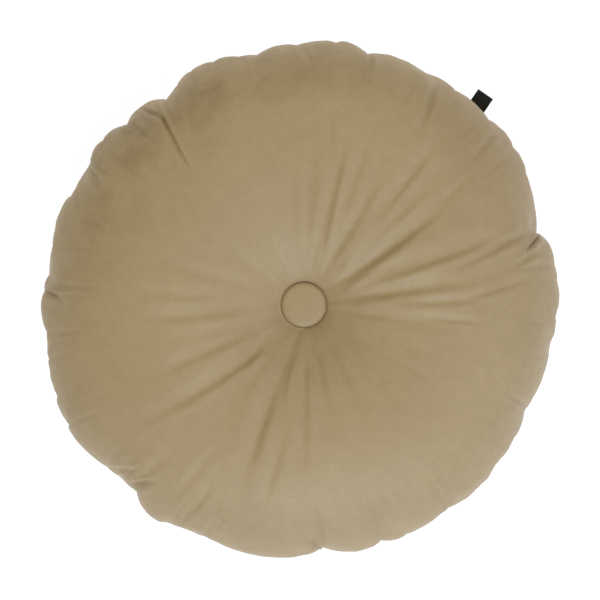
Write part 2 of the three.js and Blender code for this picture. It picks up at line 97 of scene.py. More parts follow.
# The edge tab: black tape folded in two
TAB_WIDTH = 14
TAB_SHOWN = 12.4
TAB_SEWN = 5
TAB_HIDDEN = SEAM_INSET + TAB_SEWN
TAB_LAYER = 0.55
TAB_GAP = 0.8
TAB_AT = 48.8  # the angle at which it leaves the edge
TAB_HEADING = 55.7  # the angle that it points to
TAB_PINCH = 0.55  # the share of the gap that the seam closes
TAB_PINCH_REACH = 7
TAB_SAG = 0.012  # droop, for each millimetre out squared
TAB_TWIST = 0.06  # rise at its outer end, for each millimetre to one side
SELVEDGE_HEIGHT = 0.25  # how much thicker the tape is at its selvedges, as a share
SELVEDGE_AT = 0.9  # where, from the tape's middle at 0 to its side at 1
SELVEDGE_WIDTH = 0.06
SIDE_THICKNESS = 0.45  # the share of its thickness that the tape has at its very side

# The mesh's own fineness
COLUMN_STEP = 1.2  # degrees between every second column
FINE_AFTER = (9, 123.8, 222.8)  # the puckers after which, where folds are sharp, it is half of that
SLOPE_STEP = 0.5  # degrees of slope, each way, over which the cloth's outward direction is taken
PLAIN_SIDE = 150.0  # the angle at which a panel's rings are spaced
PROFILE_SAMPLES = 6000  # how many points its profile is measured in for that
FIRST_RING = 0.5  # distance between the seam and the first ring
RING_GROWTH = 0.2  # how fast the rings may then grow apart
SEAT_CLEARANCE = 0.8  # distance from the seat at which they end
SEAT_RINGS = 8
BUTTON_SEGMENTS = 96
BUTTON_STEPS = 5  # rings for each row of a button's profile
TAB_STEPS = 36
TAB_FOLD_STEPS = 12
TAB_COLUMNS = 19

# The cloth pass: the filling presses on a coarse copy of the cover, which is cut a little too large for it
CLOTH_COLUMNS = 192
CLOTH_RING_STEP = 6
CLOTH_FRAMES = 20
CLOTH_PRESSURE = 4
CLOTH_MASS = 0.3
CLOTH_AIR = 1
CLOTH_STIFFNESS = 15
CLOTH_SHEAR = 5
CLOTH_BENDING = 0.5
CLOTH_SPARE = 0.02  # the share that the cover is too large by, on its face and back
CLOTH_SPARE_AT_RIM = 0.07  # and beside the seam
CLOTH_RIM_HEIGHT = 30  # height above and below the seam over which that share falls
CLOTH_CAP = 4  # how far a point may move

# Each pucker of the edge seam: where it is and its distance from the button, then how far the lobe after it
# bulges, and at which share of its width it bulges most, if not in the middle. The fold in from a pucker may
# be shallower, by the share that is given.
PUCKERS = [
    dict(at=5.5, out=195.8, bulge=0.8),
    dict(at=9, out=195.7, bulge=4.2, peak=0.6),
    dict(at=17.2, out=187.7, bulge=0.9),
    dict(at=30.5, out=198.8, bulge=1.7),
    dict(at=37.2, out=202.3, bulge=2.5),
    dict(at=45.2, out=201.3, bulge=2.1),
    dict(at=54.7, out=201.9, bulge=2),
    dict(at=62.2, out=201.9, bulge=3.6, peak=0.6),
    dict(at=75.7, out=199.1, bulge=3.2),
    dict(at=83, out=203.8, bulge=1.8),
    dict(at=91.5, out=199.8, bulge=3.1),
    dict(at=100.7, out=195.8, bulge=0.7),
    dict(at=104.8, out=197.3, bulge=2),
    dict(at=110.5, out=199.4, bulge=2.1),
    dict(at=115.8, out=199.5, bulge=2.3),
    dict(at=120, out=194.8, bulge=0.6),
    dict(at=123.8, out=190, bulge=5.8, peak=0.45),
    dict(at=134.4, out=194.2, bulge=3, peak=0.55),
    dict(at=140.7, out=199.5, bulge=3),
    dict(at=146.2, out=197.2, bulge=0),
    dict(at=155, out=197.7, bulge=3.3, peak=0.35),
    dict(at=166.8, out=198.3, bulge=0.8),
    dict(at=173.2, out=197.7, bulge=1.7),
    dict(at=177, out=200.1, bulge=3.4, peak=0.42),
    dict(at=186, out=198.7, bulge=0.6),
    dict(at=192, out=200.3, bulge=1.3, peak=0.4),
    dict(at=200.2, out=202.8, bulge=2),
    dict(at=207, out=203.3, bulge=3.1, peak=0.3),
    dict(at=219.3, out=196.3, bulge=0.5),
    dict(at=222.8, out=194.4, bulge=0.2),
    dict(at=228.2, out=193, bulge=5, peak=0.52, fold=0.15),
    dict(at=237.4, out=198.7, bulge=0, fold=0.4),
    dict(at=242.3, out=194.7, bulge=0.6),
    dict(at=247.7, out=193.9, bulge=6.2, peak=0.57, fold=0.5),
    dict(at=274.6, out=187.5, bulge=5.2, peak=0.58),
    dict(at=288.2, out=190.5, bulge=2.2),
    dict(at=294.2, out=193.6, bulge=1.3),
    dict(at=305.5, out=191.5, bulge=1.5),
    dict(at=313, out=194.5, bulge=1.4),
    dict(at=320.2, out=192, bulge=1.1),
    dict(at=327.8, out=191.8, bulge=1.4),
    dict(at=334.5, out=188.8, bulge=2.3),
    dict(at=351.5, out=192.2, bulge=1.8),
    dict(at=357.2, out=193.6, bulge=2.2),
]

# Each fold of the face: a valley from one plan point (angle, distance) to another. The width is from the
# ridge on one side to the ridge on the other, the skew makes the side towards a greater angle the wider
# one, and the peak is the share of the length where it is deepest. A bow takes its middle sideways, and a
# sharp fold has a crease at its bottom.
FACE_FOLDS = [
    dict(start=(1.2, 60), end=(1.6, 140), depth=1, width=12, skew=0.2, peak=0.6),
    dict(start=(1.4, 112), end=(7.2, 186), depth=1.2, width=10, skew=0.2, peak=0.45),
    dict(start=(9, 18), end=(8, 150), depth=1.7, width=17, skew=0.3, peak=0.34),
    dict(start=(20.6, 44), end=(19, 168), depth=1.9, width=20, skew=0.4, peak=0.5),
    dict(start=(13.4, 112), end=(18.6, 190), depth=1.8, width=11, skew=0, peak=0.62),
    dict(start=(10, 156), end=(13.4, 192), depth=1.3, width=8, skew=0, peak=0.5),
    dict(start=(13.6, 172), end=(17, 193.5), depth=4.4, width=4.2, skew=-0.3, peak=0.6, sharp=0.6),
    dict(start=(23.5, 17.5), end=(36, 160), depth=2.3, width=21, skew=0.3, peak=0.34, bow=-0.5),
    dict(start=(36.6, 118), end=(38.4, 172), depth=0.7, width=11, skew=0, peak=0.5),
    dict(start=(42.6, 46), end=(43.6, 150), depth=0.8, width=15, skew=0.3, peak=0.5),
    dict(start=(49.4, 74), end=(51, 178), depth=1.3, width=15, skew=0.3, peak=0.5),
    dict(start=(57, 23), end=(59, 138), depth=0.9, width=16, skew=0.3, peak=0.4),
    dict(start=(55.6, 152), end=(59.6, 208), depth=2.4, width=9.5, skew=0.3, peak=0.55, sharp=0.3),
    dict(start=(40.6, 166), end=(42.4, 208), depth=1.6, width=8, skew=0.1, peak=0.6),
    dict(start=(64.4, 52), end=(70, 168), depth=0.8, width=15, skew=0.1, peak=0.5),
    dict(start=(70, 24), end=(76.6, 136), depth=1.2, width=15, skew=0.35, peak=0.42, bow=-1.2),
    dict(start=(74.2, 182), end=(75.4, 206), depth=2, width=6.5, skew=0.1, peak=0.6),
    dict(start=(79.5, 96), end=(82.5, 160), depth=0.6, width=11, skew=0, peak=0.5),
    dict(start=(87.5, 174), end=(91, 204), depth=1.1, width=8, skew=0, peak=0.6),
    dict(start=(87, 28), end=(87.4, 132), depth=0.4, width=15, skew=0, peak=0.4),
    dict(start=(106, 22), end=(95.5, 122), depth=0.4, width=17, skew=0, peak=0.4),
    dict(start=(120, 22), end=(112, 118), depth=0.35, width=18, skew=-0.1, peak=0.4),
    dict(
        start=(130.8, 127), end=(125.8, 199), depth=2.6, width=6.4, skew=0.6, peak=0.58, bow=-0.6, sharp=0.6
    ),
    dict(start=(126.2, 170), end=(130, 202), depth=2, width=6.5, skew=0.4, peak=0.5, sharp=0.4),
    dict(start=(136.6, 138), end=(138, 170), depth=0.7, width=11, skew=0, peak=0.5),
    dict(start=(140, 22), end=(143, 112), depth=0.2, width=18, skew=0, peak=0.4),
    dict(start=(150.8, 170), end=(146.6, 202), depth=1.9, width=8, skew=0, peak=0.6),
    dict(start=(159.4, 144), end=(157.8, 194), depth=1.3, width=9, skew=0, peak=0.55),
    dict(start=(160.8, 22), end=(163.2, 128), depth=0.55, width=15, skew=-0.2, peak=0.5),
    dict(start=(174, 46), end=(175.4, 124), depth=0.6, width=13, skew=-0.2, peak=0.6),
    dict(start=(179.5, 180), end=(176, 206), depth=2.2, width=7, skew=0, peak=0.6),
    dict(start=(186, 22), end=(185, 126), depth=1, width=17, skew=-0.3, peak=0.55),
    dict(start=(197, 24), end=(196, 110), depth=0.7, width=14, skew=0, peak=0.4),
    dict(start=(207, 22), end=(205.2, 144), depth=0.95, width=17, skew=-0.3, peak=0.42),
    dict(start=(234, 20), end=(214.5, 168), depth=1.8, width=20, skew=-0.35, peak=0.34, bow=5.5),
    dict(start=(228.4, 146), end=(225.2, 190), depth=0.5, width=14, skew=-0.1, peak=0.55),
    dict(start=(230.4, 170), end=(223.4, 200), depth=2, width=9, skew=0.4, peak=0.5),
    dict(start=(225, 172), end=(219, 200), depth=1.5, width=8.5, skew=0.4, peak=0.55),
    dict(start=(237, 20), end=(235, 92), depth=0.9, width=13, skew=0, peak=0.4),
    dict(start=(238.6, 116), end=(236.2, 180), depth=0.4, width=14, skew=0, peak=0.6),
    dict(start=(243.8, 150), end=(239.8, 196), depth=0.9, width=14, skew=-0.3, peak=0.5),
    dict(start=(248.5, 170), end=(245.8, 197), depth=0.6, width=10, skew=0, peak=0.5),
    dict(start=(247, 18.5), end=(251, 160), depth=2.2, width=20, skew=-0.3, peak=0.3),
    dict(start=(257, 19), end=(255.6, 92), depth=1.7, width=13, skew=-0.1, peak=0.4),
    dict(start=(263.4, 80), end=(258, 162), depth=0.6, width=14, skew=-0.2, peak=0.55),
    dict(start=(269.8, 30), end=(270.2, 134), depth=1, width=17, skew=-0.35, peak=0.42),
    dict(start=(271, 176), end=(275, 196), depth=2.8, width=6.5, skew=-0.3, peak=0.6),
    dict(start=(279, 22), end=(283, 100), depth=0.9, width=15, skew=0, peak=0.4),
    dict(start=(287.6, 144), end=(286, 190), depth=0.7, width=10, skew=-0.2, peak=0.5),
    dict(start=(290.4, 172), end=(288.6, 202), depth=1.3, width=7.5, skew=0, peak=0.6),
    dict(start=(293, 142), end=(294, 190), depth=0.7, width=10, skew=0, peak=0.5),
    dict(start=(299, 22), end=(297, 122), depth=0.8, width=15, skew=0, peak=0.4),
    dict(start=(315.5, 22), end=(314, 128), depth=0.9, width=14, skew=0, peak=0.5),
    dict(start=(331.5, 22), end=(329.5, 132), depth=0.9, width=13, skew=0.1, peak=0.5),
    dict(start=(336, 166), end=(335, 197), depth=1.9, width=9, skew=0.5, peak=0.62),
    dict(start=(345, 40), end=(350, 118), depth=0.8, width=11, skew=0, peak=0.6),
    dict(start=(347.4, 170), end=(348, 192), depth=0.8, width=8, skew=0, peak=0.5),
    dict(start=(352.6, 21), end=(351.8, 126), depth=1.7, width=15, skew=0.35, peak=0.4),
    dict(start=(353.8, 90), end=(354.6, 142), depth=0.7, width=10, skew=0.2, peak=0.5),
]

# Faint streaks that fan out from the buttons: how many of each kind there are round the whole circle
STREAKS = [
    dict(count=17, phase=0.3, lift=0.17),
    dict(count=29, phase=1.9, lift=0.12),
    dict(count=43, phase=4.1, lift=0.08),
]
STREAK_OUT = 72  # distance out at which they are strongest
STREAK_REACH = 62
STREAK_SIDE = 20  # the angle round which they are strongest
STREAK_UNEVEN = 0.7
STREAK_DRIFT = 1.6
STREAK_DRIFT_LENGTH = 55
STREAK_FADE = 0.45
STREAK_FADE_LENGTH = 80

# The seam's gathers, in two sizes: how many there are round the edge, and how they crowd and spread
GATHERS = [
    dict(count=67, lift=1, crowding=2.3, crowds=5, phase=0),
    dict(count=109, lift=0.8, crowding=2.7, crowds=7, phase=1),
]

# The face's low swellings: waves along X and along Y, whose crests sway
LUMP_HEIGHT = 1.1
LUMPS_ALONG_X = dict(length=29, sway=1.6, sway_length=51, phase=0.4)
LUMPS_ALONG_Y = dict(length=34, sway=1.4, sway_length=43, phase=2)

# The folds at the puckers of the seam, and the plain fan of folds round the back's button. The sines in the
# two functions make them uneven.
PUCKER_FOLD_WIDTH = 7.5
PUCKER_FOLD_PAST = 24  # how far they run on past the outline, so that they are deep at the seam
BULGE_SHARE = 0.45  # how much deeper they are for each millimetre that a lobe bulges
BACK_FAN_COUNT = 14
BACK_FAN_INNER = 22
BACK_FAN_OUTER = 118
BACK_FAN_DEPTH = 1.8
BACK_FAN_WIDTH = 14


def back_fan():
    folds = []
    for i in range(BACK_FAN_COUNT):
        at = i * 360 / BACK_FAN_COUNT + 7 * math.sin(3.1 * i)
        folds.append(
            dict(
                start=(at, BACK_FAN_INNER),
                end=(at + 5 * math.sin(1.7 * i), BACK_FAN_OUTER + 16 * math.sin(2.3 * i)),
                depth=BACK_FAN_DEPTH + 0.6 * math.sin(4.3 * i),
                width=BACK_FAN_WIDTH,
                skew=0,
                peak=0.4,
            )
        )
    return folds


def pucker_folds(reach, depth):
    """A short fold in from each pucker of the seam, deeper where the lobes beside it bulge more."""
    folds = []
    for i, pucker in enumerate(PUCKERS):
        inner = pucker["out"] - reach * (1 + 0.35 * math.sin(1.9 * i))
        bulge = max(pucker["bulge"], PUCKERS[i - 1]["bulge"])
        folds.append(
            dict(
                start=(pucker["at"] + 1.6 * math.sin(2.9 * i), inner),
                end=(pucker["at"], pucker["out"] + PUCKER_FOLD_PAST),
                depth=depth * (1 + BULGE_SHARE * bulge) * pucker.get("fold", 1),
                width=PUCKER_FOLD_WIDTH + math.sin(2.3 * i),
                skew=0.25 * math.sin(1.3 * i),
                peak=0.55,
            )
        )
    return folds


# The two panels. A ring step is a distance out, and how far apart the rings are there. Rings outside of
# fine_outside have every column, the others every second one. The cloth pass fills in the settling.
FACE = dict(
    sign=1,
    rise=FACE_RISE,
    pull=FACE_PULL,
    folds=FACE_FOLDS + pucker_folds(reach=30, depth=0.5),
    streaks=1,
    lumps=LUMP_HEIGHT,
    ring_steps=[(SEAT_RADIUS, 1.1), (36, 2), (70, 2.6), (150, 2.6), (172, 1.7)],
    fine_outside=92,
    settling=None,
)
BACK = dict(
    sign=-1,
    rise=BACK_DROP,
    pull=BACK_PULL,
    folds=back_fan() + pucker_folds(reach=36, depth=0.7),
    streaks=0.6,
    lumps=0,
    ring_steps=[(SEAT_RADIUS, 1.3), (36, 2.6), (60, 3.6), (150, 3.6), (180, 2.2)],
    fine_outside=193,
    settling=None,
)


# The surface of the filled body, worked out for whole arrays of angles and slopes


def edge_at(angle):
    """Distance from the axis to the outline, with a cusp at each pucker and a lobe between two."""
    at = np.array([p["at"] for p in PUCKERS])
    out = np.array([p["out"] for p in PUCKERS])
    bulge = np.array([p["bulge"] for p in PUCKERS])
    peak = np.array([p.get("peak", 0.5) for p in PUCKERS])
    turn = np.mod(angle, 360)
    before = (np.searchsorted(at, turn, side="right") - 1) % len(at)
    after = (before + 1) % len(at)
    span = np.mod(at[after] - at[before], 360)
    share = np.mod(turn - at[before], 360) / span
    leaning = np.power(share, np.log(0.5) / np.log(peak[before]))
    lobe = np.power(4 * leaning * (1 - leaning), LOBE_ROUNDNESS)
    return out[before] + (out[after] - out[before]) * share + bulge[before] * lobe


def soft_edge_at(angle, softening):
    """The same distance, softened over a few degrees, as the puckers are away from the seam."""
    reach = 8
    total = 0
    weights = 0
    for step in range(-reach, reach + 1):
        weight = reach + 1 - abs(step)
        total = total + weight * edge_at(angle + step * softening / reach)
        weights += weight
    return total / weights


def profile_at(panel, angle, slope):
    """The smooth profile of a panel: distance out and height above or below the seam.

    The slope tells where along the profile: 90 at the seam, and falling towards the button.
    """
    radians = np.radians(slope)
    height = panel["rise"] * np.cos(radians)
    share = np.power(np.sin(radians), 2 / FULLNESS)
    softening = PUCKER_FADE * np.maximum(0, height - PUCKER_HEIGHT)
    groove = SEAM_INSET * np.exp(-((height / SEAM_GROOVE) ** 2))
    line = SEAM_LINE_DEPTH * np.exp(-((height / SEAM_LINE_WIDTH) ** 2))
    out = (soft_edge_at(angle, softening) + BULGE_ALLOWANCE) * share - groove - line
    from_seat = np.maximum(0, out - SEAT_RADIUS)
    return out, height - panel["pull"] * np.exp(-from_seat / TUFT_SPREAD)


def plan_point(angle, out):
    radians = np.radians(angle)
    return np.cos(radians) * out, np.sin(radians) * out


def crease_shape(across, sharp):
    """A valley one deep, rounded at 0 and sharper towards 1, with a ridge one unit away on each side."""
    scaled = 1.5 * np.abs(across) ** (2 - sharp)
    return -(1 - 2 * scaled) * np.exp(-scaled)


def fold_swell(along, peak):
    """How much of its depth a fold has along its length: none at its ends, all of it at its peak."""
    rising = np.sin(np.pi / 2 * np.clip(along / peak, 0, 1))
    falling = np.cos(np.pi / 2 * np.clip((along - peak) / (1 - peak), 0, 1)) ** 2
    return np.where(along < peak, rising, falling)


def folds_at(folds, x, y):
    """How far the folds lift the cloth off its smooth shape, or lower it.

    They narrow towards the button.
    """
    lift = np.zeros_like(x)
    narrowing = np.minimum(1, NARROWEST + (1 - NARROWEST) * np.hypot(x, y) / NARROWED_WITHIN)
    for fold in folds:
        start_x, start_y = plan_point(*fold["start"])
        end_x, end_y = plan_point(*fold["end"])
        length = math.hypot(end_x - start_x, end_y - start_y)
        unit_x = (end_x - start_x) / length
        unit_y = (end_y - start_y) / length
        along = ((x - start_x) * unit_x + (y - start_y) * unit_y) / length
        across = (y - start_y) * unit_x - (x - start_x) * unit_y
        across = across - fold.get("bow", 0) * np.sin(np.pi * along)
        side = np.where(across > 0, 1 + fold["skew"], 1 - fold["skew"])
        across = across / (side * narrowing * fold["width"] / 2)
        inside = (along > 0) & (along < 1) & (np.abs(across) < FOLD_REACH)
        shape = crease_shape(across[inside], fold.get("sharp", 0))
        lift[inside] += fold["depth"] * fold_swell(along[inside], fold["peak"]) * shape
    return lift


def clear_of_button(out):
    """None of a button's hold at 1, far enough out, and all of it at 0, beside the seat."""
    return np.clip((out - SEAT_RADIUS) / BUTTON_HOLD, 0, 1)


def streaks_at(angle, out):
    """Faint streaks that fan out from the button, where the cloth is drawn in unevenly."""
    turn = np.radians(angle)
    fade = np.exp(-(((out - STREAK_OUT) / STREAK_REACH) ** 2)) * clear_of_button(out)
    fade = fade * (1 + STREAK_UNEVEN * np.cos(turn - math.radians(STREAK_SIDE)))
    total = np.zeros_like(turn)
    for i, streak in enumerate(STREAKS):
        phase = streak["phase"]
        drift = STREAK_DRIFT * np.sin((2 + i) * turn + out / STREAK_DRIFT_LENGTH + phase)
        fading = np.sin((5 + 2 * i) * turn + out / STREAK_FADE_LENGTH + 2 * phase)
        strength = 1 - STREAK_FADE + STREAK_FADE * fading
        total += streak["lift"] * strength * np.sin(streak["count"] * turn + phase + drift)
    return fade * total


def swaying_wave(along, sideways, wave):
    sway = wave["sway"] * np.sin(sideways / wave["sway_length"] + wave["phase"])
    return np.sin(along / wave["length"] + sway)


def lumps_at(x, y):
    """Broad low swellings, where the filling is uneven."""
    return swaying_wave(x, y, LUMPS_ALONG_X) * swaying_wave(y, x, LUMPS_ALONG_Y)


def gathers_at(angle):
    """The seam's fine gathers: an uneven ripple round the edge, one every few degrees."""
    turn = np.radians(angle)
    ripple = 0
    for row in GATHERS:
        crowding = row["crowding"] * np.sin(row["crowds"] * turn + row["phase"])
        ripple = ripple + row["lift"] * np.sin(row["count"] * turn + crowding)
    return ripple * (1 - GATHER_UNEVEN + GATHER_UNEVEN * np.sin(9 * turn + 2))


def rest_on_floor(height):
    """Exactly zero where the back lies flat, and rounded off around that."""
    rounded = (height + FLOOR_ROUNDING) ** 2 / (4 * FLOOR_ROUNDING)
    raised = np.where(height >= FLOOR_ROUNDING, height, rounded)
    return np.where(height <= -FLOOR_ROUNDING, 0, raised)


def seam_at(angle):
    """Height of the seam, which wanders up and down a little."""
    turn = np.radians(angle)
    return SEAM_HEIGHT + SEAM_WANDER * (np.sin(5 * turn + 1) + np.sin(13 * turn + 2.2))


def spline_weights(share):
    """Weights of four neighbours for a smooth curve, at a share of the way between the middle two."""
    return (
        (1 - share) ** 3 / 6,
        (3 * share**3 - 6 * share**2 + 4) / 6,
        (3 * share + 3 * share**2 - 3 * share**3 + 1) / 6,
        share**3 / 6,
    )


def settling_at(panel, angle, slope):
    """How far the cloth pass moved a panel at arrays of angles and slopes: out, around and up."""
    total = np.zeros((3, len(angle)))
    if panel["settling"] is None:
        return total
    slopes, moves = panel["settling"]
    row = np.interp(90 - slope, 90 - slopes, np.arange(len(slopes)))
    column = np.mod(angle, 360) / 360 * CLOTH_COLUMNS
    row_before = np.floor(row).astype(int)
    column_before = np.floor(column).astype(int)
    for i, row_weight in enumerate(spline_weights(row - row_before), start=-1):
        near_row = np.clip(row_before + i, 0, len(slopes) - 1)
        for k, column_weight in enumerate(spline_weights(column - column_before), start=-1):
            near_column = (column_before + k) % CLOTH_COLUMNS
            total += row_weight * column_weight * moves[:, near_row, near_column]
    return total


def surface_at(panel, angle, slope, trim):
    """Distance out and height of a panel's cloth, and how far round the cloth pass moved it.

    The folds rise along the smooth profile's outward direction.
    """
    out, height = profile_at(panel, angle, slope)
    out_in, height_in = profile_at(panel, angle, slope - SLOPE_STEP)
    out_off, height_off = profile_at(panel, angle, np.minimum(90, slope + SLOPE_STEP))
    normal_out = height_in - height_off
    normal_up = out_off - out_in
    size = np.hypot(normal_out, normal_up)
    x, y = plan_point(angle, out)
    above_seam = panel["rise"] * np.cos(np.radians(slope))
    free = 1 - np.exp(-((above_seam / SEAM_HOLD) ** 2))
    lift = folds_at(panel["folds"], x, y) * free
    lift += panel["streaks"] * streaks_at(angle, out)
    lift += panel["lumps"] * lumps_at(x, y) * free
    lift += GATHER_DEPTH * gathers_at(angle) * np.exp(-above_seam / GATHER_REACH)
    trimmed = trim * free * np.clip((out - TRIM_FROM) / (TRIM_FULL - TRIM_FROM), 0, 1) ** 2
    wander = (seam_at(angle) - SEAM_HEIGHT) * np.exp(-np.abs(height) / WANDER_FADE)
    z = SEAM_HEIGHT + wander + panel["sign"] * (height + lift * normal_up / size)
    settled = settling_at(panel, angle, slope) * free * clear_of_button(out)
    settled_out, settled_around, settled_up = settled
    return out + lift * normal_out / size + trimmed + settled_out, z + settled_up, settled_around


def trim_at(panel, angle):
    """How far the rim moves, at each angle, for the panel's widest point to lie on the outline."""
    outs = [surface_at(panel, angle, np.full_like(angle, slope), 0)[0] for slope in RIM_SLOPES]
    return edge_at(angle) + RIPPLE * gathers_at(angle) - np.max(outs, axis=0)


def panel_points(panel, angle, slope, trim):
    out, z, around = surface_at(panel, angle, slope, trim)
    if panel["sign"] < 0:
        z = rest_on_floor(z)
    x, y = plan_point(angle + np.degrees(around / out), out)
    return np.stack([x, y, z], axis=-1)


def seat_lip(panel):
    return SEAM_HEIGHT + panel["sign"] * (panel["rise"] - panel["pull"])


def seat_points(panel, angle, share):
    """Points of the seat under a button, from its lip at share 0 to its floor's edge at share 1."""
    wall = BUTTON_RADIUS + BUTTON_GAP
    turn = math.radians(90) * min(share / LIP_SHARE, 1)
    below_lip = max(0, share - LIP_SHARE) / (1 - LIP_SHARE)
    out = SEAT_RADIUS - (SEAT_RADIUS - wall) * math.sin(turn) - SEAT_FLOOR_ROUNDING * below_lip**4
    down = LIP_ROUNDING * (1 - math.cos(turn)) + (SEAT_DEPTH - LIP_ROUNDING) * below_lip
    x, y = plan_point(angle, np.full_like(angle, out))
    z = np.full_like(angle, seat_lip(panel) - panel["sign"] * down)
    return np.stack([x, y, z], axis=-1)


# Rings of points, and the mesh between them


def column_angles():
    """One column on each pucker, and an even number of steps between two."""
    angles = []
    for i, pucker in enumerate(PUCKERS):
        span = (PUCKERS[(i + 1) % len(PUCKERS)]["at"] - pucker["at"]) % 360
        step = COLUMN_STEP / 2 if pucker["at"] in FINE_AFTER else COLUMN_STEP
        steps = 2 * math.ceil(span / step)
        angles += [(pucker["at"] + span * k / steps) % 360 for k in range(steps)]
    return np.array(angles)


def ring_slopes(panel, ring_steps, first_step):
    """Slopes of a panel's rings from the seam to the button's seat, so far apart at each distance out."""
    slopes = np.linspace(90, 1, PROFILE_SAMPLES)
    out, height = profile_at(panel, np.full_like(slopes, PLAIN_SIDE), slopes)
    apart = np.hypot(np.diff(out), np.diff(height))
    length = np.concatenate([[0], np.cumsum(apart)])
    steps = np.interp(out, [s[0] for s in ring_steps], [s[1] for s in ring_steps])
    steps = np.minimum(steps, first_step + RING_GROWTH * length)
    rings = np.concatenate([[0], np.cumsum(apart / steps[1:])])
    last = np.interp(-(SEAT_RADIUS + SEAT_CLEARANCE), -out, rings)
    return np.interp(np.linspace(0, last, math.ceil(last) + 1)[1:], rings, slopes)


def panel_rings(panel, angles):
    """Each ring of a panel, from the seam inwards, down into the button's seat."""
    rings = []
    trim = trim_at(panel, angles)
    for slope in ring_slopes(panel, panel["ring_steps"], FIRST_RING):
        out = profile_at(panel, np.array([PLAIN_SIDE]), np.array([slope]))[0][0]
        every = slice(None, None, 1 if out > panel["fine_outside"] else 2)
        slopes = np.full_like(angles[every], slope)
        rings.append(panel_points(panel, angles[every], slopes, trim[every]))
    for i in range(SEAT_RINGS):
        rings.append(seat_points(panel, angles[::2], i / (SEAT_RINGS - 1)))
    return rings


def stitch_rings(upper, lower):
    """Faces between two rings with the same number of points, or twice as many in one."""
    count = min(len(upper), len(lower))
    up, low = len(upper) // count, len(lower) // count
    faces = []
    for i in range(count):
        top = [upper[(i * up + k) % len(upper)] for k in range(up + 1)]
        bottom = [lower[(i * low + k) % len(lower)] for k in range(low + 1)]
        faces.append(bottom + top[::-1])
    return faces


def join_rings(rings):
    """A closed surface through a list of rings, with a face across its first and its last ring."""
    points = []
    numbered = []
    for ring in rings:
        numbered.append(list(range(len(points), len(points) + len(ring))))
        points.extend(ring)
    faces = [numbered[0], numbered[-1][::-1]]
    for upper, lower in zip(numbered, numbered[1:]):
        faces += stitch_rings(upper, lower)
    return np.array(points), faces


def new_piece(name, points, faces):
    """A smooth-shaded mesh from millimetre points round the buttons' axis."""
    mesh = bpy.data.meshes.new(name)
    placed = np.asarray(points, float) * MM
    placed[:, 0] += AXIS.x
    placed[:, 1] += AXIS.y
    mesh.from_pydata(placed.tolist(), [], faces)
    mesh.polygons.foreach_set("use_smooth", [True] * len(mesh.polygons))
    mesh.update()
    piece = bpy.data.objects.new(name, mesh)
    bpy.context.scene.collection.objects.link(piece)
    return piece


# The cloth pass


def cloth_rings(panel, angles):
    """The coarse rings of a panel, from beside the seam to its button's seat, and their slopes."""
    slopes = ring_slopes(panel, [(SEAT_RADIUS, CLOTH_RING_STEP)], CLOTH_RING_STEP)
    trim = trim_at(panel, angles)
    return slopes, [panel_points(panel, angles, np.full_like(angles, slope), trim) for slope in slopes]


def cloth_object(rings, seam_row):
    """The coarse cover, held at its seam and at both seats, with its spare cloth marked beside the seam."""
    points, faces = join_rings(rings)
    cover = new_piece("cloth_pass", points, faces)
    numbers = np.arange(len(points)).reshape(len(rings), CLOTH_COLUMNS)
    held = cover.vertex_groups.new(name="held")
    for row in (0, 1, seam_row, len(rings) - 2, len(rings) - 1):
        held.add(numbers[row].tolist(), 1, "REPLACE")
    spare = cover.vertex_groups.new(name="spare")
    for number, point in enumerate(points):
        spare.add([number], math.exp(-(((point[2] - SEAM_HEIGHT) / CLOTH_RIM_HEIGHT) ** 2)), "REPLACE")
    return cover


def press_cloth(cover):
    """Steps the simulation and gives how far each point has moved, in millimetres."""
    settings = cover.modifiers.new("cloth", "CLOTH").settings
    settings.mass = CLOTH_MASS
    settings.air_damping = CLOTH_AIR
    settings.tension_stiffness = CLOTH_STIFFNESS
    settings.compression_stiffness = CLOTH_STIFFNESS
    settings.shear_stiffness = CLOTH_SHEAR
    settings.bending_stiffness = CLOTH_BENDING
    settings.use_pressure = True
    settings.uniform_pressure_force = CLOTH_PRESSURE
    settings.vertex_group_mass = "held"
    settings.vertex_group_shrink = "spare"
    settings.shrink_min = -CLOTH_SPARE
    settings.shrink_max = -CLOTH_SPARE_AT_RIM
    settings.effector_weights.gravity = 0
    for number in range(1, CLOTH_FRAMES + 1):
        bpy.context.scene.frame_set(number)
    pressed = cover.evaluated_get(bpy.context.evaluated_depsgraph_get()).data
    count = len(cover.data.vertices)
    before = np.zeros(3 * count)
    after = np.zeros(3 * count)
    cover.data.vertices.foreach_get("co", before)
    pressed.vertices.foreach_get("co", after)
    return (after - before).reshape(count, 3) / MM


def settle_cover():
    """Presses the filling against the coarse cover, and keeps how far each panel's cloth moved."""
    angles = np.arange(CLOTH_COLUMNS) * 360 / CLOTH_COLUMNS
    seam = panel_points(FACE, angles, np.full_like(angles, 90.0), 0)
    face_slopes, face = cloth_rings(FACE, angles)
    back_slopes, back = cloth_rings(BACK, angles)
    rings = face[::-1] + [seam] + back
    cover = cloth_object(rings, len(face))
    moved = press_cloth(cover)
    mesh = cover.data
    bpy.data.objects.remove(cover)
    bpy.data.meshes.remove(mesh)
    bpy.context.scene.frame_set(1)
    size = np.linalg.norm(moved, axis=1)
    moved *= (CLOTH_CAP * np.tanh(size / CLOTH_CAP) / np.maximum(size, 1e-9))[:, None]
    x, y, up = np.moveaxis(moved.reshape(len(rings), CLOTH_COLUMNS, 3), 2, 0)
    turn = np.radians(angles)
    out = x * np.cos(turn) + y * np.sin(turn)
    around = y * np.cos(turn) - x * np.sin(turn)
    moves = np.stack([out, around, up])
    # The seam's own row comes first for both panels.
    FACE["settling"] = (np.append(90, face_slopes), moves[:, len(face) :: -1])
    BACK["settling"] = (np.append(90, back_slopes), moves[:, len(face) :])


# Materials


def new_material(name):
    material = bpy.data.materials.new(name)
    material.use_nodes = True
    return material, material.node_tree.nodes, material.node_tree.links


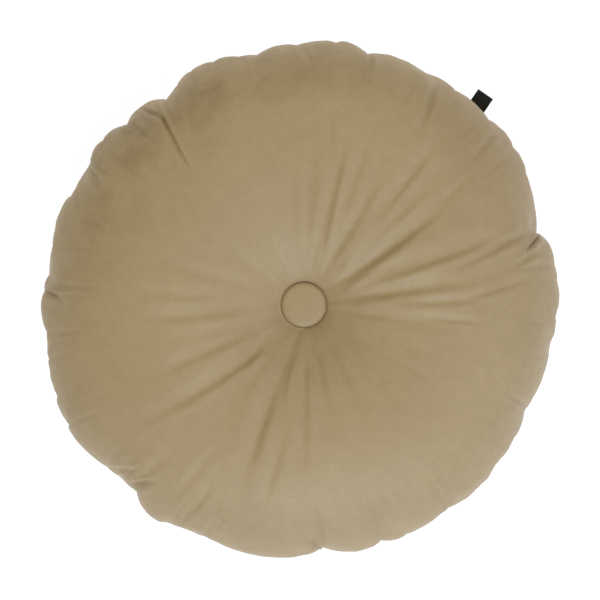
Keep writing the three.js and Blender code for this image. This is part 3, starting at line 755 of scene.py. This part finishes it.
def noise_node(nodes, links, coordinates, scale, detail, roughness):
    noise = nodes.new("ShaderNodeTexNoise")
    noise.inputs["Scale"].default_value = scale
    noise.inputs["Detail"].default_value = detail
    noise.inputs["Roughness"].default_value = roughness
    links.new(coordinates, noise.inputs["Vector"])
    return noise.outputs["Fac"]


def range_node(nodes, links, value, from_low, from_high, to_low, to_high):
    spread = nodes.new("ShaderNodeMapRange")
    spread.inputs["From Min"].default_value = from_low
    spread.inputs["From Max"].default_value = from_high
    spread.inputs["To Min"].default_value = to_low
    spread.inputs["To Max"].default_value = to_high
    links.new(value, spread.inputs["Value"])
    return spread.outputs["Result"]


def times_node(nodes, links, first, second):
    product = nodes.new("ShaderNodeMath")
    product.operation = "MULTIPLY"
    links.new(first, product.inputs[0])
    links.new(second, product.inputs[1])
    return product.outputs["Value"]


def mix_colours(nodes, links, factor, first, second):
    """A mix of two colours, each a tuple or a socket. Inputs 6 and 7 and output 2 are the colour ones."""
    mix = nodes.new("ShaderNodeMix")
    mix.data_type = "RGBA"
    links.new(factor, mix.inputs["Factor"])
    for socket, colour in ((mix.inputs[6], first), (mix.inputs[7], second)):
        if isinstance(colour, tuple):
            socket.default_value = (*colour, 1)
        else:
            links.new(colour, socket)
    return mix.outputs[2]


def bump_node(nodes, links, height, depth, below=None):
    bump = nodes.new("ShaderNodeBump")
    bump.inputs["Strength"].default_value = 1
    bump.inputs["Distance"].default_value = depth
    links.new(height, bump.inputs["Height"])
    if below is not None:
        links.new(below, bump.inputs["Normal"])
    return bump.outputs["Normal"]


# The velvet's colours and its noises. A range is where a noise goes from none to all of its share, and the
# depths are in metres.
NAP_DARK = (0.387, 0.287, 0.167)
NAP_LIGHT = (0.42, 0.317, 0.191)
# The deepest colour: for the random mottle, and also for the painted shade on the rim's unlit side and in
# the dimple
DEEP_NAP_AND_SHADE = (0.25, 0.178, 0.09)
FIBRE_TINT = (0.336, 0.242, 0.13)
SHEEN_TINT = (1, 0.9, 0.72)
NAP_PATCHES = dict(scale=11, detail=4, roughness=0.6)
NAP_PATCH_RANGE = (0.36, 0.64)
# Noise and range for the patches of painted shade on the rim
SHADED_RIM_NOISE = dict(scale=27, detail=5, roughness=0.7)
SHADED_RIM_RANGE = (0.46, 0.66)
MOTTLE = dict(scale=90, detail=5, roughness=0.75)
MOTTLE_RANGE = (0.34, 0.66)
MOTTLE_SHARE = 0.28
RUFFLES = dict(scale=260, detail=3, roughness=0.6)
RUFFLE_DEPTH = 0.00016
FIBRES = dict(scale=700, detail=3, roughness=0.8)
FIBRE_RANGE = (0.35, 0.7)
FIBRE_SHARE = 0.45
FIBRE_DEPTH = 0.00009

# Where painted shade darkens the velvet, in metres from the middle: on the rim's side away from the lights,
# and on the dimple's wall that faces away from them
SHADED_RIM_TOWARDS = 124  # the side of the rim, away from the lights, where the shade is painted in patches
SHADED_RIM_FROM = 0.095
SHADED_RIM_FULL = 0.185
SHADED_RIM_SHARE = 0.9
DIMPLE_SHADE_TOWARDS = 300  # the side of the button where the dimple's wall faces away from the lights
DIMPLE_SHADE_OUT = 0.034
DIMPLE_SHADE_REACH = 0.05
DIMPLE_SHADE_SHARE = 0.26

# The tab's tape: its colours, how fine its weave is, and the weave's depth in metres
TAPE_DARK = (0.006, 0.006, 0.005)
TAPE_LIGHT = (0.02, 0.019, 0.016)
RIB_SCALE = 330
THREAD_SCALE = 520
WEAVE_DEPTH = 0.00012


def shaded_rim_patches(nodes, links, place):
    """The share of painted shade, in soft noisy patches along the rim's side away from the lights."""
    towards = nodes.new("ShaderNodeVectorMath")
    towards.operation = "DOT_PRODUCT"
    towards.inputs[1].default_value = (*plan_point(SHADED_RIM_TOWARDS, 1), 0)
    links.new(place, towards.inputs[0])
    side = range_node(nodes, links, towards.outputs["Value"], SHADED_RIM_FROM, SHADED_RIM_FULL, 0, SHADED_RIM_SHARE)
    patches = noise_node(nodes, links, place, **SHADED_RIM_NOISE)
    return times_node(nodes, links, side, range_node(nodes, links, patches, *SHADED_RIM_RANGE, 0, 1))


def dimple_shade(nodes, links, place):
    """The share of painted shade on one side of the dimple, where its wall faces away from the lights."""
    away = nodes.new("ShaderNodeVectorMath")
    away.operation = "DISTANCE"
    x, y = plan_point(DIMPLE_SHADE_TOWARDS, DIMPLE_SHADE_OUT)
    away.inputs[1].default_value = (x + AXIS.x, y + AXIS.y, AXIS.z)
    links.new(place, away.inputs[0])
    return range_node(nodes, links, away.outputs["Value"], 0, DIMPLE_SHADE_REACH, DIMPLE_SHADE_SHARE, 0)


def velvet_material():
    """Short-pile velvet: patches and a mottle in its pile, painted shade on the rim's unlit side and in the
    dimple, a speckle of fibres and a warm sheen.
    """
    material, nodes, links = new_material("velvet")
    shader = nodes["Principled BSDF"]
    place = nodes.new("ShaderNodeTexCoord").outputs["Object"]
    patches = noise_node(nodes, links, place, **NAP_PATCHES)
    patches = range_node(nodes, links, patches, *NAP_PATCH_RANGE, 0, 1)
    mottle = noise_node(nodes, links, place, **MOTTLE)
    mottle = range_node(nodes, links, mottle, *MOTTLE_RANGE, 0, MOTTLE_SHARE)
    fibres = noise_node(nodes, links, place, **FIBRES)
    speckle = range_node(nodes, links, fibres, *FIBRE_RANGE, 0, FIBRE_SHARE)
    nap_and_shade = mix_colours(nodes, links, patches, NAP_DARK, NAP_LIGHT)
    nap_and_shade = mix_colours(nodes, links, mottle, nap_and_shade, DEEP_NAP_AND_SHADE)
    # Painted shade on the rim's side away from the lights
    nap_and_shade = mix_colours(nodes, links, shaded_rim_patches(nodes, links, place), nap_and_shade, DEEP_NAP_AND_SHADE)
    # Painted shade on the dimple's wall that faces away from the lights
    nap_and_shade = mix_colours(nodes, links, dimple_shade(nodes, links, place), nap_and_shade, DEEP_NAP_AND_SHADE)
    links.new(mix_colours(nodes, links, speckle, nap_and_shade, FIBRE_TINT), shader.inputs["Base Color"])
    shader.inputs["Roughness"].default_value = 0.58
    shader.inputs["Specular IOR Level"].default_value = 0.75
    shader.inputs["Sheen Weight"].default_value = 0.2
    shader.inputs["Sheen Roughness"].default_value = 0.35
    shader.inputs["Sheen Tint"].default_value = (*SHEEN_TINT, 1)
    ruffled = bump_node(nodes, links, noise_node(nodes, links, place, **RUFFLES), RUFFLE_DEPTH)
    links.new(bump_node(nodes, links, fibres, FIBRE_DEPTH, ruffled), shader.inputs["Normal"])
    return material


def tape_material():
    """Black woven tape: fine ribs across it, and a slight satin gloss."""
    material, nodes, links = new_material("tab_tape")
    shader = nodes["Principled BSDF"]
    place = nodes.new("ShaderNodeTexCoord").outputs["Object"]
    turned = nodes.new("ShaderNodeMapping")
    turned.vector_type = "TEXTURE"
    turned.inputs["Rotation"].default_value = (0, 0, math.radians(TAB_HEADING))
    links.new(place, turned.inputs["Vector"])
    ribs = nodes.new("ShaderNodeTexWave")
    ribs.inputs["Scale"].default_value = RIB_SCALE
    ribs.inputs["Distortion"].default_value = 0.6
    ribs.inputs["Detail"].default_value = 2
    links.new(turned.outputs["Vector"], ribs.inputs["Vector"])
    threads = nodes.new("ShaderNodeTexWave")
    threads.bands_direction = "Y"
    threads.inputs["Scale"].default_value = THREAD_SCALE
    links.new(turned.outputs["Vector"], threads.inputs["Vector"])
    weave = times_node(nodes, links, ribs.outputs["Fac"], threads.outputs["Fac"])
    links.new(mix_colours(nodes, links, weave, TAPE_DARK, TAPE_LIGHT), shader.inputs["Base Color"])
    links.new(bump_node(nodes, links, weave, WEAVE_DEPTH), shader.inputs["Normal"])
    shader.inputs["Roughness"].default_value = 0.55
    shader.inputs["Specular IOR Level"].default_value = 0.17
    shader.inputs["Sheen Weight"].default_value = 0.05
    return material


# Pieces


def cushion_piece(velvet):
    """The whole cover as one closed surface, from the face's seat over the seam to the back's seat."""
    angles = column_angles()
    seam = panel_points(FACE, angles, np.full_like(angles, 90.0), 0)
    points, faces = join_rings(panel_rings(FACE, angles)[::-1] + [seam] + panel_rings(BACK, angles))
    piece = new_piece("cushion_cover", points, faces)
    piece.data.materials.append(velvet)
    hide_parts("cushion_body")
    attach(piece, "root")


# Half a section through a covered button, from the middle of its top to the middle of its underside
BUTTON_PROFILE = [
    dict(out=0.8, up=8.9),
    dict(out=6, up=8.85),
    dict(out=10.5, up=8.65),
    dict(out=13.4, up=8.3),
    dict(out=15.2, up=7.7),
    dict(out=16.4, up=6.8),
    dict(out=17.1, up=5.6),
    dict(out=17.4, up=4.3),
    dict(out=17.1, up=2.6),
    dict(out=15.8, up=1),
    dict(out=13, up=0.1),
    dict(out=7, up=0),
    dict(out=0.8, up=0),
]
BUTTON_HEIGHT = BUTTON_PROFILE[0]["up"]
BUTTON_CLEARANCE = 0.05
TOP_UNEVEN = 0.14
PLEAT_COUNT = 24
PLEAT_DEPTH = 0.16
PLEATS_BELOW = 4.6  # height below which the pleats begin
PLEATS_OVER = 3  # height over which they gain their depth


def smooth_curve(values, steps):
    """Points on a smooth curve through the values, with a number of steps between two."""
    values = np.asarray(values, float)
    padded = np.concatenate([[2 * values[0] - values[1]], values, [2 * values[-1] - values[-2]]])
    curve = []
    for i in range(len(values) - 1):
        a, b, c, d = padded[i : i + 4]
        for k in range(steps):
            t = k / steps
            bend = (2 * a - 5 * b + 4 * c - d) * t**2 + (3 * b - a - 3 * c + d) * t**3
            curve.append(b + ((c - a) * t + bend) / 2)
    return np.array(curve + [values[-1]])


def button_piece(name, node, low, high, sign, velvet):
    """A cloth-covered button, its top a little uneven, with fine pleats where the cloth turns under."""
    out = smooth_curve([p["out"] for p in BUTTON_PROFILE], BUTTON_STEPS)
    up = smooth_curve([p["up"] for p in BUTTON_PROFILE], BUTTON_STEPS)
    angles = np.arange(BUTTON_SEGMENTS) * 360 / BUTTON_SEGMENTS
    turn = np.radians(angles)
    foot = (low.z if sign > 0 else high.z) / MM
    widest = BUTTON_RADIUS - BUTTON_CLEARANCE
    rings = []
    for ring_out, ring_up in zip(out, up):
        under = np.clip((PLEATS_BELOW - ring_up) / PLEATS_OVER, 0, 1)
        pleats = PLEAT_DEPTH * under * np.sin(PLEAT_COUNT * turn + 2 * np.sin(3 * turn))
        x, y = plan_point(angles, np.minimum(ring_out - PLEAT_DEPTH * under + pleats, widest))
        uneven = TOP_UNEVEN * (ring_out / BUTTON_RADIUS) * np.sin(2 * turn + 0.7)
        uneven = uneven * (ring_up / BUTTON_HEIGHT)
        rings.append(np.stack([x, y, foot + sign * (ring_up + uneven)], axis=-1))
    if sign < 0:
        rings = rings[::-1]
    points, faces = join_rings(rings)
    piece = new_piece(name, points, faces)
    piece.data.materials.append(velvet)
    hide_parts(node)
    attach(piece, "root")


def tab_path():
    """The tape's middle line, as places along and up: out in its lower layer, and back in its upper one."""
    middle = (TAB_GAP + TAB_LAYER) / 2
    bend = TAB_HIDDEN + TAB_SHOWN - middle - TAB_LAYER / 2
    straight = np.linspace(0, bend, TAB_STEPS)
    turns = np.radians(np.linspace(-90, 90, TAB_FOLD_STEPS + 1)[1:-1])
    closing = 1 - TAB_PINCH * np.exp(-(((straight - TAB_HIDDEN) / TAB_PINCH_REACH) ** 2))
    lower = [(along, -middle * gap) for along, gap in zip(straight, closing)]
    fold = [(bend + middle * math.cos(turn), middle * math.sin(turn)) for turn in turns]
    upper = [(along, middle * gap) for along, gap in zip(straight[::-1], closing[::-1])]
    return lower + fold + upper


def tape_half_thickness(across):
    """Half of the tape's thickness, more at its selvedges and less at its very sides."""
    side = np.abs(across) / (TAB_WIDTH / 2)
    selvedge = SELVEDGE_HEIGHT * np.exp(-(((side - SELVEDGE_AT) / SELVEDGE_WIDTH) ** 2))
    return TAB_LAYER / 2 * (1 + selvedge) * np.where(side > 0.99, SIDE_THICKNESS, 1)


def tab_points(along, across, up):
    """Points of the level tape, put in the seam, drooping and a little twisted."""
    root_x, root_y = plan_point(TAB_AT, float(edge_at(np.array([TAB_AT]))[0]))
    head_x, head_y = plan_point(TAB_HEADING, 1)
    past_seam = along - TAB_HIDDEN
    shown = np.maximum(0, past_seam)
    x = root_x + head_x * past_seam - head_y * across
    y = root_y + head_y * past_seam + head_x * across
    z = float(seam_at(TAB_AT)) + up - TAB_SAG * shown**2 + TAB_TWIST * across * shown / TAB_SHOWN
    return np.stack([x, y, z], axis=-1)


def tab_ring(before, middle, after):
    """One cut through a layer of the tape, over one face and back under the other."""
    run = math.hypot(after[0] - before[0], after[1] - before[1])
    normal_along = (after[1] - before[1]) / run
    normal_up = -(after[0] - before[0]) / run
    across = np.linspace(-TAB_WIDTH / 2, TAB_WIDTH / 2, TAB_COLUMNS)
    half = tape_half_thickness(across)
    ring = []
    for v, offset in ((across, half), (across[::-1], -half[::-1])):
        ring.append(tab_points(middle[0] + offset * normal_along, v, middle[1] + offset * normal_up))
    return np.concatenate(ring)


def tab_piece(tape):
    """The woven tape, folded in two and caught in the seam."""
    path = tab_path()
    rings = [tab_ring(*cut) for cut in zip(path[:1] + path, path, path[1:] + path[-1:])]
    points, faces = join_rings(rings)
    piece = new_piece("tab_folded", points, faces)
    piece.data.materials.append(tape)
    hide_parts("edge_tab")
    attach(piece, "root")


# Stage

# The camera looks straight down, and frames the shown width at the height of the widest part of the rim.
# Its distance and that width are in metres, and so are the sizes of the lights and the floor.
CAMERA_DISTANCE = 2.0
SHOWN_WIDTH = 0.4624
RIM_HEIGHT = 60
CAMERA_RIGHT = 0.1
CAMERA_UP = -0.5


def make_camera():
    camera = bpy.data.cameras.new("camera")
    camera.sensor_width = 36
    camera.lens = camera.sensor_width * CAMERA_DISTANCE / SHOWN_WIDTH
    holder = bpy.data.objects.new("camera", camera)
    holder.location = (CAMERA_RIGHT * MM, CAMERA_UP * MM, RIM_HEIGHT * MM + CAMERA_DISTANCE)
    bpy.context.scene.collection.objects.link(holder)
    bpy.context.scene.camera = holder


# The soft lights round the cushion. The key, front and side ones are a little cool, and the others warm.
LIGHTS = [
    dict(name="key", azimuth=270, elevation=45, power=21, colour=(0.94, 1, 1.04)),
    dict(name="front", azimuth=291, elevation=38, power=8.5, colour=(0.95, 1, 1.04)),
    dict(name="side", azimuth=0, elevation=50, power=10, colour=(0.9, 1, 1.24)),
    dict(name="behind", azimuth=90, elevation=50, power=13.5, colour=(1.04, 0.94, 0.61)),
    dict(name="far_side", azimuth=180, elevation=50, power=3, colour=(1.04, 0.96, 0.72)),
]
LIGHT_DISTANCE = 2.4
LIGHT_SIZE = 1.3
WORLD_COLOUR = (1, 0.94, 0.63)
WORLD_STRENGTH = 0.28

# The floor glows a little, so that it comes out as white as in the photo.
FLOOR_HALF = 4.0
FLOOR_COLOUR = (0.5, 0.5, 0.5)
FLOOR_GLOW_COLOUR = (0.88, 0.9, 1)
FLOOR_GLOW = 0.84


def area_light(name, azimuth, elevation, power, colour):
    light = bpy.data.lights.new(name, "AREA")
    light.shape = "DISK"
    light.size = LIGHT_SIZE
    light.energy = power
    light.color = colour
    holder = bpy.data.objects.new(name, light)
    level_x, level_y = plan_point(azimuth, math.cos(math.radians(elevation)))
    place = Vector((level_x, level_y, math.sin(math.radians(elevation)))) * LIGHT_DISTANCE
    holder.location = place
    holder.rotation_euler = (-place).to_track_quat("-Z", "Y").to_euler()
    bpy.context.scene.collection.objects.link(holder)


def make_floor():
    corners = [(-1, -1), (1, -1), (1, 1), (-1, 1)]
    mesh = bpy.data.meshes.new("floor")
    mesh.from_pydata([(x * FLOOR_HALF, y * FLOOR_HALF, 0) for x, y in corners], [], [(0, 1, 2, 3)])
    floor = bpy.data.objects.new("floor", mesh)
    bpy.context.scene.collection.objects.link(floor)
    material = bpy.data.materials.new("floor")
    material.use_nodes = True
    shader = material.node_tree.nodes["Principled BSDF"]
    shader.inputs["Base Color"].default_value = (*FLOOR_COLOUR, 1)
    shader.inputs["Roughness"].default_value = 0.9
    shader.inputs["Emission Color"].default_value = (*FLOOR_GLOW_COLOUR, 1)
    shader.inputs["Emission Strength"].default_value = FLOOR_GLOW
    mesh.materials.append(material)


def make_stage():
    world = bpy.data.worlds.new("world")
    world.use_nodes = True
    world.node_tree.nodes["Background"].inputs["Color"].default_value = (*WORLD_COLOUR, 1)
    world.node_tree.nodes["Background"].inputs["Strength"].default_value = WORLD_STRENGTH
    bpy.context.scene.world = world
    for light in LIGHTS:
        area_light(**light)
    make_floor()
    bpy.context.scene.view_settings.view_transform = "Standard"


make_camera()
make_stage()
velvet = velvet_material()
tape = tape_material()
settle_cover()
cushion_piece(velvet)
button_piece("button_face", "face_button", FACE_BUTTON_LOW, FACE_BUTTON_HIGH, 1, velvet)
button_piece("button_back", "back_button", BACK_BUTTON_LOW, BACK_BUTTON_HIGH, -1, velvet)
tab_piece(tape)
